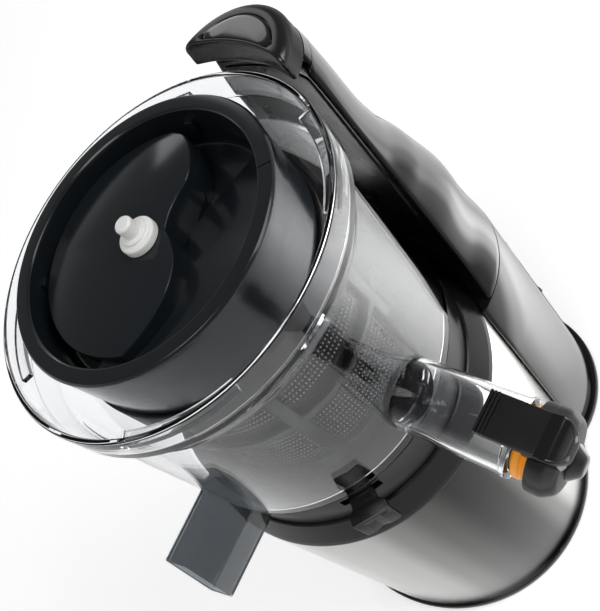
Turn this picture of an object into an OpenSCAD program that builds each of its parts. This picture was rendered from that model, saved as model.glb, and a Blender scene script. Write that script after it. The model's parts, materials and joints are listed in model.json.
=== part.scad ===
// Vertical juicer with a stainless motor base, a rear carrying column, a clear
// juice bowl with tap, pulp chute, strainer and a wide-mouthed auger.
// Units are millimetres.  +Z is up, +Y is the column side, the juice spout
// leaves towards +X.  The origin is on the drive axis at floor level.

/* [Base] */
// radius of the black foot rim
base_r = 82; // [74:0.5:92]
// radius of the stainless shell
shell_r = 80; // [72:0.5:90]
// sheet thickness of the stainless shell
shell_t = 0.8; // [0.6:0.1:1.5]
// height of the rubber feet below the bottom cover
foot_h = 1; // [0.5:0.1:4]
// top of the black foot rim
rim_z = 6; // [5:0.5:12]
// top edge of the stainless shell
shell_top_z = 162.5; // [140:0.5:180]
// top of the seat that carries the bowl
seat_z = 176; // [152:0.5:194]

/* [Column] */
// distance of the lower column centre behind the drive axis
column_y = 62; // [56:0.5:70]
// outer radius of the lower column housing
column_r = 55; // [50:0.1:60]
// radius of the foot lobe under the column
lobe_r = 60.2; // [54:0.1:66]
// radius of the column where it bulges behind the bowl
bulge_r = 41; // [36:0.1:46]
// distance of that bulge behind the drive axis
bulge_y = 73; // [70:0.5:76]
// radius of the column at the handle neck
neck_r = 33.1; // [30:0.1:36]
// distance of the handle neck behind the drive axis
neck_y = 67; // [64:0.5:70]
// radius of the handle hood
hood_r = 28.5; // [24:0.1:32]
// distance of the hood centre behind the drive axis
hood_y = 69.5; // [66:0.5:74]
// radius of the concave front face that wraps the bowl
front_r = 84; // [80:0.5:92]
// wall thickness of the column mouldings
column_t = 2.6; // [2:0.1:4]
// height of the joint between the lower housing and the arm
arm_z = 164.8; // [142:0.1:182]
// underside of the handle hood
hood_z = 313.4; // [292:0.1:330]
// top of the handle hood
hood_top_z = 324.6; // [300:0.1:344]

/* [Bowl] */
// outer radius of the clear bowl wall
bowl_r = 74; // [66:0.5:82]
// wall thickness of the clear bowl
bowl_t = 2.8; // [2:0.1:4]
// underside of the bowl floor
bowl_z = 197; // [180:0.5:214]
// top edge of the bowl rim
rim_top_z = 309; // [285:0.5:325]
// outer radius of the bowl rim
rim_r = 78.2; // [70:0.1:86]
// height of the rim skirt
skirt_h = 15; // [10:0.5:22]
// direction of the juice spout about the drive axis
spout_angle = 3; // [-20:1:20]
// downward slope of the juice spout
spout_slope = 10; // [0:1:20]
// height of the spout centre where it leaves the bowl
spout_z = 216; // [214:0.5:230]
// outer radius of the spout tube
spout_r = 15.5; // [12:0.5:17]
// length of the spout tube outside the bowl
spout_len = 46; // [36:1:60]

/* [Pulp outlet] */
// direction of the pulp chute about the drive axis
chute_angle = -86; // [-110:1:-60]
// sideways shift of the chute from the radial line
chute_shift = -4.5; // [-8:0.5:8]
// outside width of the chute
chute_w = 33.6; // [24:0.1:40]
// outside height of the chute
chute_h = 17.6; // [12:0.1:19]
// distance of the chute mouth from the drive axis
chute_end = 112; // [95:1:130]
// direction of the pulp lever about the drive axis
lever_angle = -34; // [-50:1:-25]

/* [Auger and strainer] */
// outer radius of the auger drum rim
drum_r = 60.5; // [52:0.1:66]
// inner radius of the auger drum rim
drum_mouth_r = 53.4; // [46:0.1:58]
// top of the auger drum rim
drum_top_z = 319; // [300:0.5:335]
// bottom edge of the auger drum
drum_low_z = 286; // [270:0.5:300]
// radius of the lobed feed plate
plate_r = 47.8; // [42:0.1:52]
// height of the lobed feed plate
plate_z = 314; // [296:0.5:330]
// inner radius of the strainer at its foot
strainer_r = 54.6; // [48:0.1:60]

/* [Gearbox] */
// gear module
gear_m = 0.9; // [0.7:0.05:1.1]
// teeth on each sun pinion
sun_n = 12;
// teeth on each planet
planet_n = 30;
// running clearance of shafts and pins, on the radius
run = 0.06; // [0.02:0.01:0.1]

/* [Hidden] */
$fn = 96;
ring_n = sun_n + 2 * planet_n;
orbit_r = gear_m * (sun_n + planet_n) / 2;
ring_r = gear_m * ring_n / 2;
shell_in = shell_r - shell_t;
cover_z = foot_h;
floor_z = cover_z + 2.5;
post_r = shell_r - 14;
deck_z = 97;
deck_t = 4;
gear_z = deck_z + deck_t + 0.3;
gear_case_r = ring_r + 8.4;
gear_top_z = gear_z + 55;
bowl_in = bowl_r - bowl_t;
floor_top_z = bowl_z + 3;
skirt_z = rim_top_z - skirt_h;
hub_r = 11;
hex_r = 8;
drum_t = 3;
recess_z = plate_z - 16;
tap_s = spout_len + 1;
tap_h = -spout_r - 5;
lever_h = spout_r + 5;
lobes = [[-20, 28, 25], [4, -18, 23]];
foot_spots = [[0, 0], [30, -60], [-30, -60], [36, 88], [-36, 88]];
boss_spots = [[21, column_y + 44.6], [-21, column_y + 44.6]];
bezel_y = column_y + sqrt(column_r * column_r - 169) + 0.1;
foot_fillet = 14;
lever_pin_r = 63.5;
arm_steps = [
  [arm_z, column_y, column_r], [arm_z + 20, bulge_y - 4.7, bulge_r + 5.4], [arm_z + 45, bulge_y, bulge_r],
  [arm_z + 67, bulge_y - 1, bulge_r - 3.7], [arm_z + 88, neck_y + 1.3, neck_r + 1.8],
  [hood_z - 41, neck_y - 0.4, neck_r + 1], [hood_z - 17, neck_y, neck_r], [hood_z - 4.4, hood_y, hood_r + 1.7]
];
hood_screw_y = hood_y + 19;
arm_screw_x = 26;
arm_screw_y = column_y + 41;

// ---------- shared helpers ----------

// flat ring of given radii
module tube(r_out, r_in, z0, z1) {
  translate([0, 0, z0])
    linear_extrude(z1 - z0)
      difference() {
        circle(r_out);
        circle(r_in);
      }
}

// solid round bar between two heights
module rod(r, z0, z1) {
  translate([0, 0, z0])
    cylinder(r = r, h = z1 - z0);
}

// repeats its children at n equal steps about Z
module ring_of(n, start = 0) {
  for (i = [0 : n - 1])
    rotate(start + i * 360 / n)
      children();
}

// outline of the base: main circle joined to the column lobe
module base_plan(r_main, r_lobe) {
  a = r_main + foot_fillet;
  b = r_lobe + foot_fillet;
  fy = (a * a - b * b + column_y * column_y) / (2 * column_y);
  fx = sqrt(a * a - fy * fy);
  circle(r_main);
  translate([0, column_y])
    circle(r_lobe);
  difference() {
    polygon([[0, 0], [fx, fy], [0, column_y], [-fx, fy]]);
    for (x = [-fx, fx])
      translate([x, fy])
        circle(foot_fillet);
  }
}

// crescent between the column circle and the bowl circle
module crescent(r_column, r_bowl) {
  difference() {
    translate([0, column_y])
      circle(r_column);
    circle(r_bowl);
  }
}

// external gear outline with a tooth on the +X axis
module gear_plan(n, bore) {
  r = gear_m * n / 2;
  difference() {
    union() {
      circle(r - 1.15 * gear_m);
      for (i = [0 : n - 1])
        rotate(i * 360 / n)
          polygon(gear_m * [
            [n / 2 - 1.4, -0.62], [n / 2, -0.60], [n / 2 + 0.8, -0.27],
            [n / 2 + 0.8, 0.27], [n / 2, 0.60], [n / 2 - 1.4, 0.62]
          ]);
    }
    if (bore > 0)
      circle(bore);
  }
}

// tooth spaces of the internal ring, with a solid tooth on the +X axis
module ring_spaces() {
  circle(ring_r - 0.8 * gear_m);
  for (i = [0 : ring_n - 1])
    rotate((i + 0.5) * 360 / ring_n)
      polygon(gear_m * [
        [ring_n / 2 - 1.2, -1.24], [ring_n / 2, -0.95], [ring_n / 2 + 1.1, -0.7],
        [ring_n / 2 + 1.1, 0.7], [ring_n / 2, 0.95], [ring_n / 2 - 1.2, 1.24]
      ]);
}

// column arm: discs of the given steps joined in turn
module arm_loft() {
  for (i = [0 : len(arm_steps) - 2])
    hull()
      for (p = [arm_steps[i], arm_steps[i + 1]])
        translate([0, p[1], p[0]])
          cylinder(r = p[2], h = 0.01, $fn = 64);
}

// piece of a ring about the drive axis, w wide to each side of the column
module front_band(w, r_in, r_out, z0, z1) {
  intersection() {
    tube(r_out, r_in, z0, z1);
    translate([-w, 0, z0 - 1])
      cube([2 * w, r_out + 10, z1 - z0 + 2]);
  }
}

// countersunk self-tapping screw, head down at z0
module screw(z0, length) {
  rod(2.8, z0, z0 + 1.8);
  rod(1.5, z0 + 1.8, z0 + length);
}

// places its children along the spout: X runs down the tube, origin on the wall
module at_spout() {
  rotate(spout_angle)
    translate([bowl_r, 0, spout_z])
      rotate([0, spout_slope, 0])
        children();
}

// places its children along the chute: X runs out to the mouth
module at_chute() {
  rotate(chute_angle)
    translate([0, chute_shift, 0])
      children();
}

// ---------- base ----------

module rubber_feet() {
  color([0.08, 0.08, 0.08])
    for (p = foot_spots)
      translate([p[0], p[1], 0]) {
        rod(9, 0, cover_z + 2);
        rod(2.9, cover_z + 2, cover_z + 7);
      }
}

module base_cover() {
  color([0.07, 0.07, 0.07])
    difference() {
      union() {
        translate([0, 0, cover_z])
          linear_extrude(2.5)
            base_plan(base_r, lobe_r);
        translate([0, 0, cover_z])
          linear_extrude(rim_z - 0.1 - cover_z)
            difference() {
              base_plan(base_r, lobe_r);
              base_plan(base_r - 5, lobe_r - 6);
            }
        intersection() {
          tube(shell_in - 0.2, shell_in - 2.2, floor_z, rim_z + 4);
          translate([-100, -100, 0])
            cube([200, 135, 40]);
        }
        for (p = foot_spots)
          translate([p[0], p[1], 0])
            rod(11.5, floor_z, cover_z + 4.5);
      }
      for (p = foot_spots)
        translate([p[0], p[1], 0]) {
          rod(9.2, cover_z - 1, cover_z + 2);
          rod(3, cover_z + 1, cover_z + 9);
        }
      base_screw_spots()
        screw_hole(cover_z);
      for (x = [-40, -32, -24, 20.5, 28.5, 36.5])
        translate([x, -24, cover_z - 1])
          cube([3.5, 48, 6]);
    }
}

// clearance for a screw head and shank
module screw_hole(z0) {
  rod(3, z0 - 1, z0 + 2);
  rod(1.6, z0, z0 + 12);
}

// the four chassis posts and the two column bosses
module base_screw_spots() {
  ring_of(4, 45)
    translate([post_r, 0, 0])
      children();
  for (p = boss_spots)
    translate([p[0], p[1], 0])
      children();
}

module base_screws() {
  color([0.55, 0.55, 0.57])
    base_screw_spots()
      screw(cover_z + 0.1, 11);
}

module steel_shell() {
  color([0.75, 0.75, 0.76])
    difference() {
      tube(shell_r, shell_in, rim_z, shell_top_z);
      translate([-28, 60, 16])
        cube([56, 40, 132]);
    }
}

module chassis() {
  color([0.12, 0.12, 0.13])
    difference() {
      union() {
        rod(shell_in - 0.4, deck_z, deck_z + deck_t);
        ring_of(4, 45)
          translate([post_r, 0, 0])
            rod(5, floor_z + 0.05, seat_z - 4.1);
        ring_of(8, 22.5)
          translate([42, -1.2, deck_z - 10])
            cube([shell_in - 46, 2.4, 10.5]);
      }
      rod(13, deck_z - 1, deck_z + deck_t + 1);
      ring_of(4, 45)
        translate([post_r, 0, 0]) {
          rod(1.6, 0, floor_z + 14);
          rod(1.6, seat_z - 20, seat_z);
        }
      ring_of(4)
        translate([gear_case_r + 5, 0, 0])
          rod(1.6, deck_z - 1, deck_z + deck_t + 1);
      ring_of(4)
        translate([30, 0, 0]) {
          rod(1.6, deck_z - 1, deck_z + deck_t + 1);
          rod(3, deck_z + 2, deck_z + deck_t + 1);
        }
    }
}

module seat_collar() {
  color([0.1, 0.1, 0.1])
    difference() {
      union() {
        rotate_extrude()
          polygon([
            [shell_r, shell_top_z + 0.1], [shell_r, shell_top_z + 1], [shell_r - 0.7, shell_top_z + 2.5],
            [bowl_r - 0.2, seat_z - 0.6], [bowl_r - 1, seat_z], [14.4, seat_z], [14.4, seat_z - 4],
            [bowl_r - 2.6, seat_z - 4], [shell_r - 4, shell_top_z + 0.1]
          ]);
        tube(shell_in - 0.2, shell_in - 2.4, shell_top_z - 6, shell_top_z + 0.2);
        tube(20, 14.4, seat_z - 4, seat_z + 5);
        ring_of(3, 30)
          translate([64, -4, seat_z - 0.5])
            cube([3, 8, 3]);
      }
      ring_of(4, 45)
        translate([post_r, 0, 0]) {
          rod(3, seat_z - 1.9, seat_z + 4);
          rod(1.6, seat_z - 8, seat_z + 1);
        }
    }
}

module collar_screws() {
  color([0.55, 0.55, 0.57])
    ring_of(4, 45)
      translate([post_r, 0, seat_z - 0.05])
        mirror([0, 0, 1])
          screw(0, 14);
}

// ---------- column ----------

module column_lower() {
  color([0.05, 0.05, 0.05])
    difference() {
      union() {
        translate([0, 0, rim_z])
          linear_extrude(arm_z - 0.3 - rim_z)
            difference() {
              crescent(column_r, shell_r + 0.15);
              crescent(column_r - column_t, shell_r + 2.4);
            }
        translate([0, 0, arm_z - 2.8])
          linear_extrude(2.5)
            crescent(column_r, shell_r + 0.15);
        for (p = boss_spots)
          translate([p[0], p[1], 0])
            rod(4.5, floor_z + 0.1, 24);
      }
      for (p = boss_spots)
        translate([p[0], p[1], 0])
          rod(1.6, 0, 20);
      translate([-28, shell_r - 20, 16])
        cube([56, 24, 132]);
      translate([-13, column_y + 30, 79])
        cube([26, 40, 32]);
      translate([-15.3, bezel_y - 0.05, 76.7])
        cube([30.6, 10, 36.6]);
      translate([0, column_y + 30, 30])
        rotate([-90, 0, 0])
          cylinder(r = 6.2, h = 40);
      for (x = [-arm_screw_x, arm_screw_x])
        translate([x, arm_screw_y, 0])
          rod(1.6, arm_z - 8, arm_z + 1);
    }
}

module column_arm() {
  color([0.05, 0.05, 0.05])
    difference() {
      arm_loft();
      rod(front_r, arm_z - 1, hood_z + 5);
      front_band(24.2, front_r - 1, front_r + 2.2, arm_z + 5, hood_z - 9.4);
      front_band(20, front_r, front_r + 5, arm_z + 9, hood_z - 14);
      difference() {
        union() {
          translate([0, bulge_y - 1, arm_z + 4])
            cylinder(r = 29, h = 82);
          translate([0, neck_y + 4, arm_z + 85])
            cylinder(r = 26, h = 48);
        }
        rod(front_r + 4, arm_z, hood_z);
      }
      for (x = [-arm_screw_x, arm_screw_x])
        translate([x, arm_screw_y, 0])
          rod(1.6, arm_z - 1, arm_z + 12);
      for (x = [-9, 9])
        translate([x, hood_screw_y, 0]) {
          rod(1.6, hood_z - 13, hood_z + 1);
          rod(3, hood_z - 30, hood_z - 10.5);
        }
    }
}

module arm_screws() {
  color([0.55, 0.55, 0.57])
    for (x = [-arm_screw_x, arm_screw_x])
      translate([x, arm_screw_y, 0])
        screw(arm_z - 4.7, 14);
}

module arm_panel() {
  color([0.04, 0.04, 0.045])
    front_band(24, front_r + 0.1, front_r + 2.1, arm_z + 5.2, hood_z - 9.6);
}

module handle_hood() {
  color([0.05, 0.05, 0.05])
    difference() {
      translate([0, hood_y, 0])
        rotate_extrude()
          polygon(concat(
            [[0, hood_z], [hood_r + 0.6, hood_z]],
            [for (a = [0 : 15 : 75])
              [hood_r - 5.4 + 5.4 * cos(a), hood_top_z - 5.4 + 5.4 * sin(a)]],
            [[hood_r - 5.4, hood_top_z], [0, hood_top_z]]
          ));
      rod(rim_r + 0.9, hood_z - 1, hood_top_z + 1);
      translate([0, 0, hood_top_z - 1.2])
        linear_extrude(3)
          hood_plan(0);
      for (x = [-9, 9])
        translate([x, hood_screw_y, 0])
          rod(1.6, hood_z - 1, hood_top_z - 4);
    }
  color([0.05, 0.05, 0.05])
    difference() {
      translate([0, hood_y + 1.6, hood_z - 4.2])
        cylinder(r = hood_r - 1.5, h = 4.3);
      rod(front_r + 3, hood_z - 5, hood_z + 1);
      for (x = [-9, 9])
        translate([x, hood_screw_y, 0])
          rod(1.6, hood_z - 5, hood_z + 1);
    }
}

// outline of the inlay on the hood, drawn in by an inset
module hood_plan(inset) {
  difference() {
    translate([0, hood_y])
      circle(hood_r - 7.5 - inset);
    circle(rim_r + 5 + inset);
  }
}

module hood_inlay() {
  color([0.09, 0.09, 0.1])
    translate([0, 0, hood_top_z - 1.1])
      linear_extrude(1.2)
        hood_plan(0.2);
}

module hood_screws() {
  color([0.55, 0.55, 0.57])
    for (x = [-9, 9])
      translate([x, hood_screw_y, 0])
        screw(hood_z - 12.4, 18);
}

module switch_bezel() {
  color([0.03, 0.03, 0.03])
    translate([-13, bezel_y - 17, 79])
      difference() {
        union() {
          translate([0.2, 0, 0.2])
            cube([25.6, 17.5, 31.6]);
          translate([-2, 17, -2])
            cube([30, 2.4, 36]);
        }
        translate([3, 2, 5])
          cube([20, 30, 22]);
        translate([1.5, 11, 16])
          rotate([0, 90, 0])
            cylinder(r = 1.6, h = 23);
      }
}

module switch_rocker() {
  color([0.12, 0.12, 0.12])
    translate([0, bezel_y - 6, 95])
      rotate([0, 90, 0])
        union() {
          translate([0, 0, -11])
            cylinder(r = 1.54, h = 22);
          difference() {
            intersection() {
              translate([0, 0, -9.7])
                cylinder(r = 10.4, h = 19.4);
              translate([-10, -3, -9.7])
                cube([20, 16, 19.4]);
            }
            translate([0, 17, -10])
              cylinder(r = 8, h = 20);
          }
        }
}

module cord_gland() {
  color([0.06, 0.06, 0.06])
    translate([0, column_y + column_r - 6, 30])
      rotate([-90, 0, 0])
        difference() {
          union() {
            cylinder(r = 6, h = 10);
            translate([0, 0, 6.4])
              cylinder(r = 8, h = 2.2);
            translate([0, 0, 8.5])
              cylinder(r1 = 6.5, r2 = 4.6, h = 8);
            cylinder(r = 8, h = 2.2);
          }
          translate([0, 0, -1])
            cylinder(r = 3.3, h = 30);
        }
}

module control_board() {
  color([0.1, 0.35, 0.18])
    translate([-24, shell_r + 8, 117])
      union() {
        cube([48, 1.6, 42]);
        translate([5, 1.5, 6])
          cube([12, 12, 14]);
        translate([24, 1.5, 8])
          cube([16, 7, 10]);
        translate([10, 1.5, 30])
          rotate([-90, 0, 0])
            cylinder(r = 5, h = 11);
        translate([28, 1.5, 28])
          cube([10, 5, 10]);
      }
}

// ---------- motor ----------

module motor_can() {
  color([0.5, 0.5, 0.52])
    difference() {
      union() {
        rod(36, 24, 92);
        rod(12, 92, 95);
      }
      rod(33.5, 27, 88);
      rod(4 + run, 20, 99);
      ring_of(4)
        translate([30, 0, 0])
          rod(1.6, 84, 96);
      ring_of(8, 22.5)
        translate([20, -3.5, 20])
          cube([12, 7, 10]);
      ring_of(6)
        translate([30, -7, 34])
          cube([10, 14, 14]);
    }
}

module motor_mount() {
  color([0.1, 0.1, 0.1])
    difference() {
      tube(36, 14, 92.1, deck_z - 0.1);
      ring_of(4)
        translate([30, 0, 0])
          rod(1.6, 90, 99);
    }
}

module motor_screws() {
  color([0.55, 0.55, 0.57])
    ring_of(4)
      translate([30, 0, deck_z + deck_t - 0.1])
        mirror([0, 0, 1])
          screw(0, 13);
}

module motor_shaft() {
  color([0.7, 0.7, 0.72])
    union() {
      rod(4, 12, 104);
      rod(2.5, 103, gear_z + 22);
    }
}

module motor_rotor() {
  color([0.55, 0.36, 0.2])
    difference() {
      union() {
        rod(24, 38, 76);
        rod(12, 75, 84);
        ring_of(12)
          translate([16, 0, 34])
            cylinder(r = 3, h = 46);
      }
      rod(4, 20, 99);
    }
}

module cooling_fan() {
  color([0.2, 0.2, 0.22])
    difference() {
      union() {
        rod(9, 13, 21.5);
        rod(31, 19.5, 21.5);
        ring_of(11)
          translate([8, -0.8, 13.5])
            cube([22, 1.6, 6.5]);
      }
      rod(4, 10, 25);
    }
}

// ---------- gearbox ----------

module sun_pinion() {
  color([0.7, 0.68, 0.6])
    translate([0, 0, gear_z + 6])
      linear_extrude(16)
        gear_plan(sun_n, 2.5);
}

module gear_case() {
  color([0.6, 0.6, 0.62])
    difference() {
      union() {
        rod(gear_case_r, gear_z, gear_top_z);
        ring_of(4)
          hull_ear();
      }
      rod(ring_r + 4.4, gear_z + 4, gear_top_z + 1);
      rod(7, gear_z - 1, gear_z + 5);
      ring_of(4)
        translate([gear_case_r + 5, 0, 0])
          rod(1.6, gear_z - 1, gear_top_z + 1);
    }
}

// screw ear on the gear case
module hull_ear() {
  translate([gear_case_r + 5, 0, 0])
    rod(4.2, gear_z, gear_top_z);
  translate([gear_case_r - 3, -4.2, gear_z])
    cube([8, 8.4, gear_top_z - gear_z]);
}

module ring_gear() {
  color([0.35, 0.35, 0.37])
    translate([0, 0, gear_z + 4.2])
      linear_extrude(46)
        difference() {
          circle(ring_r + 4.3);
          ring_spaces();
        }
}

// planet gear number i at height z0
module planet(i, z0) {
  color([0.85, 0.84, 0.78])
    rotate(i * 120)
      translate([orbit_r, 0, z0])
        linear_extrude(14)
          rotate(180 / planet_n)
            gear_plan(planet_n, 3 + run);
}

module planet_a1() {
  planet(0, gear_z + 7);
}

module planet_a2() {
  planet(1, gear_z + 7);
}

module planet_a3() {
  planet(2, gear_z + 7);
}

module planet_b1() {
  planet(0, gear_z + 29);
}

module planet_b2() {
  planet(1, gear_z + 29);
}

module planet_b3() {
  planet(2, gear_z + 29);
}

// carrier plate above z0 with three planet pins hanging below it
module carrier(z0) {
  rod(orbit_r + 6, z0, z0 + 3.6);
  ring_of(3)
    translate([orbit_r, 0, 0])
      rod(3, z0 - 15, z0 + 0.1);
}

module carrier_a() {
  color([0.62, 0.62, 0.64])
    union() {
      carrier(gear_z + 22.4);
      translate([0, 0, gear_z + 25.8])
        linear_extrude(17.6)
          gear_plan(sun_n, 0);
    }
}

module carrier_b() {
  color([0.62, 0.62, 0.64])
    difference() {
      carrier(gear_z + 44.4);
      rod(6.03, gear_z + 40, gear_z + 60);
    }
}

module drive_shaft() {
  color([0.78, 0.78, 0.8])
    union() {
      rod(6, gear_z + 44.4, gear_z + 48);
      rod(8, gear_z + 48, seat_z + 6);
      translate([0, 0, seat_z + 6])
        cylinder(r = hex_r, h = 17, $fn = 6);
      translate([0, 0, seat_z + 23])
        cylinder(r1 = hex_r, r2 = hex_r - 2, h = 2, $fn = 6);
    }
}

module gear_cover() {
  color([0.6, 0.6, 0.62])
    difference() {
      union() {
        rod(gear_case_r, gear_top_z + 0.1, gear_top_z + 4);
        ring_of(4)
          translate([gear_case_r + 5, 0, 0])
            rod(4.2, gear_top_z + 0.1, gear_top_z + 4);
        ring_of(4)
          translate([gear_case_r - 3, -4.2, gear_top_z + 0.1])
            cube([8, 8.4, 3.9]);
        rod(17.5, gear_top_z + 0.1, gear_top_z + 11);
      }
      rod(13.1, gear_top_z + 2, gear_top_z + 12);
      rod(9, gear_top_z - 1, gear_top_z + 3);
      ring_of(4)
        translate([gear_case_r + 5, 0, 0])
          rod(1.6, gear_top_z - 1, gear_top_z + 5);
    }
}

module gear_screws() {
  color([0.55, 0.55, 0.57])
    ring_of(4)
      translate([gear_case_r + 5, 0, gear_top_z + 5.9])
        mirror([0, 0, 1])
          screw(0, 62);
}

module shaft_bearing() {
  color([0.8, 0.8, 0.82])
    union() {
      tube(13, 11, gear_top_z + 2.1, gear_top_z + 10);
      tube(10, 8 + run, gear_top_z + 2.1, gear_top_z + 10);
      tube(11.1, 9.9, gear_top_z + 4.5, gear_top_z + 7.5);
    }
}

module shaft_seal() {
  color([0.75, 0.2, 0.1])
    union() {
      tube(14.3, 8 + run, seat_z - 3.6, seat_z - 1);
      tube(14.3, 12, seat_z - 3.6, seat_z + 4);
    }
}

// ---------- bowl ----------

module bowl() {
  color([0.85, 0.9, 0.92, 0.35])
    difference() {
      union() {
        rotate_extrude()
          polygon(concat(
            [[hub_r + 4.5, bowl_z]],
            [for (a = [-90 : 15 : 0]) [bowl_r - 5 + 5 * cos(a), bowl_z + 5 + 5 * sin(a)]],
            [[bowl_r, skirt_z - 2], [rim_r - 1, skirt_z], [rim_r, skirt_z + 1], [rim_r, rim_top_z - 0.8],
             [rim_r - 0.8, rim_top_z], [rim_r - 1.8, rim_top_z], [rim_r - 2.4, rim_top_z - 0.6],
             [rim_r - 2.4, skirt_z + 3], [bowl_in, skirt_z + 1]],
            [for (a = [0 : -15 : -90]) [bowl_in - 3 + 3 * cos(a), floor_top_z + 3 + 3 * sin(a)]],
            [[hub_r + 4.5, floor_top_z]]
          ));
        tube(57, 55.6, floor_top_z - 0.2, floor_top_z + 2);
        tube(hub_r + 6.5, hub_r + 1.7, bowl_z - 4, bowl_z + 3);
        at_spout()
          spout_solid();
        rim_lugs();
      }
      at_spout() {
        translate([-6, 0, 0])
          rotate([0, 90, 0])
            cylinder(r = spout_r - 2.2, h = spout_len + 10);
        translate([tap_s, 20, tap_h])
          rotate([90, 0, 0])
            cylinder(r = 1.55, h = 40);
      }
      at_chute()
        translate([42, -chute_w / 2 + 3, bowl_z - 1])
          cube([13, chute_w - 6, 5]);
    }
}

// outside of the spout tube with its end bead and hinge lug
module spout_solid() {
  intersection() {
    rotate([0, 90, 0])
      translate([0, 0, -4])
        cylinder(r = spout_r, h = spout_len + 4);
    translate([-2.6, -40, -40])
      cube([80, 80, 80]);
  }
  translate([spout_len - 2, 0, 0])
    rotate([0, 90, 0])
      cylinder(r = spout_r + 0.8, h = 2);
  translate([tap_s - 12, -3, tap_h])
    cube([11, 6, 7]);
  translate([tap_s, 3, tap_h])
    rotate([90, 0, 0])
      cylinder(r = 4, h = 6);
}

// four inner lugs that hold a lid
module rim_lugs() {
  for (a = [-43.5, 46.5, 136.5, 226.5])
    rotate(a)
      difference() {
        tube(rim_r - 2, rim_r - 7, rim_top_z - 7, rim_top_z - 4.4);
        for (s = [-1, 1])
          rotate(s * 109)
            translate([0, -100, rim_top_z - 20])
              cube([100, 200, 40]);
        translate([-200, -100, rim_top_z - 20])
          cube([200, 200, 40]);
      }
}

module bowl_ring() {
  color([0.06, 0.06, 0.06])
    difference() {
      union() {
        tube(bowl_r - 1.2, bowl_r - 4.2, seat_z + 0.4, bowl_z - 0.1);
        tube(bowl_r - 1.2, 24, bowl_z - 2.6, bowl_z - 0.1);
        tube(26.4, 24, seat_z + 0.4, bowl_z - 0.1);
      }
      at_chute()
        translate([36, -chute_w / 2 - 0.2, bowl_z - 19.2])
          cube([80, chute_w + 0.4, 30]);
      rotate(lever_angle) {
        translate([68, -10, bowl_z - 8])
          cube([10, 20, 5.4]);
        translate([lever_pin_r, 0, 0])
          rod(2.55, bowl_z - 4, bowl_z);
      }
      ring_of(3, 30)
        translate([20, -8, seat_z - 1])
          cube([60, 16, 4]);
    }
}

module bowl_gasket() {
  color([0.9, 0.45, 0.1])
    difference() {
      tube(hub_r + 6.4, hub_r + 2, floor_top_z + 0.05, floor_top_z + 2.5);
      tube(hub_r + 5, hub_r + 3.8, floor_top_z + 1.5, floor_top_z + 4);
    }
}

module pulp_chute() {
  color([0.3, 0.32, 0.34, 0.5])
    at_chute()
      difference() {
        translate([38, -chute_w / 2, bowl_z - 0.3 - chute_h])
          cube([chute_end - 38, chute_w, chute_h]);
        translate([40, -chute_w / 2 + 2, bowl_z - 0.3 - chute_h + 2])
          cube([chute_end, chute_w - 4, chute_h - 4]);
        translate([42, -chute_w / 2 + 3, bowl_z - 4])
          cube([13, chute_w - 6, 6]);
      }
}

module pulp_lever() {
  color([0.06, 0.06, 0.06])
    rotate(lever_angle)
      difference() {
        union() {
          translate([lever_pin_r, 0, 0])
            rod(6, bowl_z - 7, bowl_z - 3.4);
          translate([lever_pin_r, -6, bowl_z - 7])
            cube([21, 12, 3.6]);
          translate([lever_pin_r + 15, -9, bowl_z - 7])
            cube([7, 18, 3.6]);
          translate([lever_pin_r + 19, -9, bowl_z - 18])
            cube([3, 18, 14.6]);
        }
        translate([lever_pin_r, 0, 0])
          rod(2.5 + run, bowl_z - 8, bowl_z - 3);
      }
}

module pulp_pin() {
  color([0.75, 0.75, 0.77])
    rotate(lever_angle)
      translate([lever_pin_r, 0, 0]) {
        rod(4, bowl_z - 9, bowl_z - 7.2);
        rod(2.5, bowl_z - 7.3, bowl_z - 0.2);
      }
}

module tap_lever() {
  color([0.04, 0.04, 0.04])
    at_spout()
      difference() {
        union() {
          translate([spout_len - 12, -8.5, lever_h - 1.2])
            cube([24, 17, 4.2]);
          translate([spout_len + 7.2, 0, 0])
            rotate([0, 90, 0]) {
              cylinder(r = spout_r + 1.8, h = 7);
              translate([0, 0, 7])
                cylinder(r1 = spout_r + 1.8, r2 = 11, h = 4.5);
            }
          translate([spout_len + 13, 0, -5])
            rotate([0, 90, 0])
              cylinder(r1 = 9, r2 = 4, h = 10.5);
          translate([spout_len + 7.2, -8.5, 0])
            cube([4.8, 17, lever_h + 1]);
          for (y = [-8.3, 3.3]) {
            translate([tap_s, y + 5, tap_h])
              rotate([90, 0, 0])
                cylinder(r = 4, h = 5);
            translate([tap_s, y, tap_h - 4])
              cube([spout_len + 9 - tap_s, 5, 7.4]);
            translate([spout_len + 4, y, tap_h - 4])
              cube([5, 5, 9.6]);
          }
        }
        translate([tap_s, 20, tap_h])
          rotate([90, 0, 0])
            cylinder(r = 1.5 + run, h = 40);
        translate([spout_len + 6, 0, 0])
          rotate([0, 90, 0])
            cylinder(r = 9.1, h = 4);
        knob_solid(0.1);
      }
}

// rounded cross bar on the tap, grown by gap all round
module knob_solid(gap) {
  translate([spout_len + 12.5, 8.3 + gap, lever_h - 5.4])
    rotate([90, 0, 0])
      intersection() {
        cylinder(r = 8.4 + gap, h = 16.6 + 2 * gap);
        translate([-2.6 - gap, -20, -1])
          cube([40, 40, 30]);
      }
}

module tap_knob() {
  color([0.05, 0.05, 0.06])
    at_spout()
      knob_solid(0);
}

module tap_seal() {
  color([0.92, 0.5, 0.05])
    at_spout()
      rotate([0, 90, 0]) {
        translate([0, 0, spout_len + 0.4])
          cylinder(r = spout_r - 1, h = 6.7);
        translate([0, 0, spout_len + 7])
          cylinder(r = 9, h = 2.8);
      }
}

module tap_pin() {
  color([0.75, 0.75, 0.77])
    at_spout()
      translate([tap_s, 8.4, tap_h])
        rotate([90, 0, 0])
          cylinder(r = 1.5, h = 16.8);
}

// ---------- strainer ----------

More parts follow.
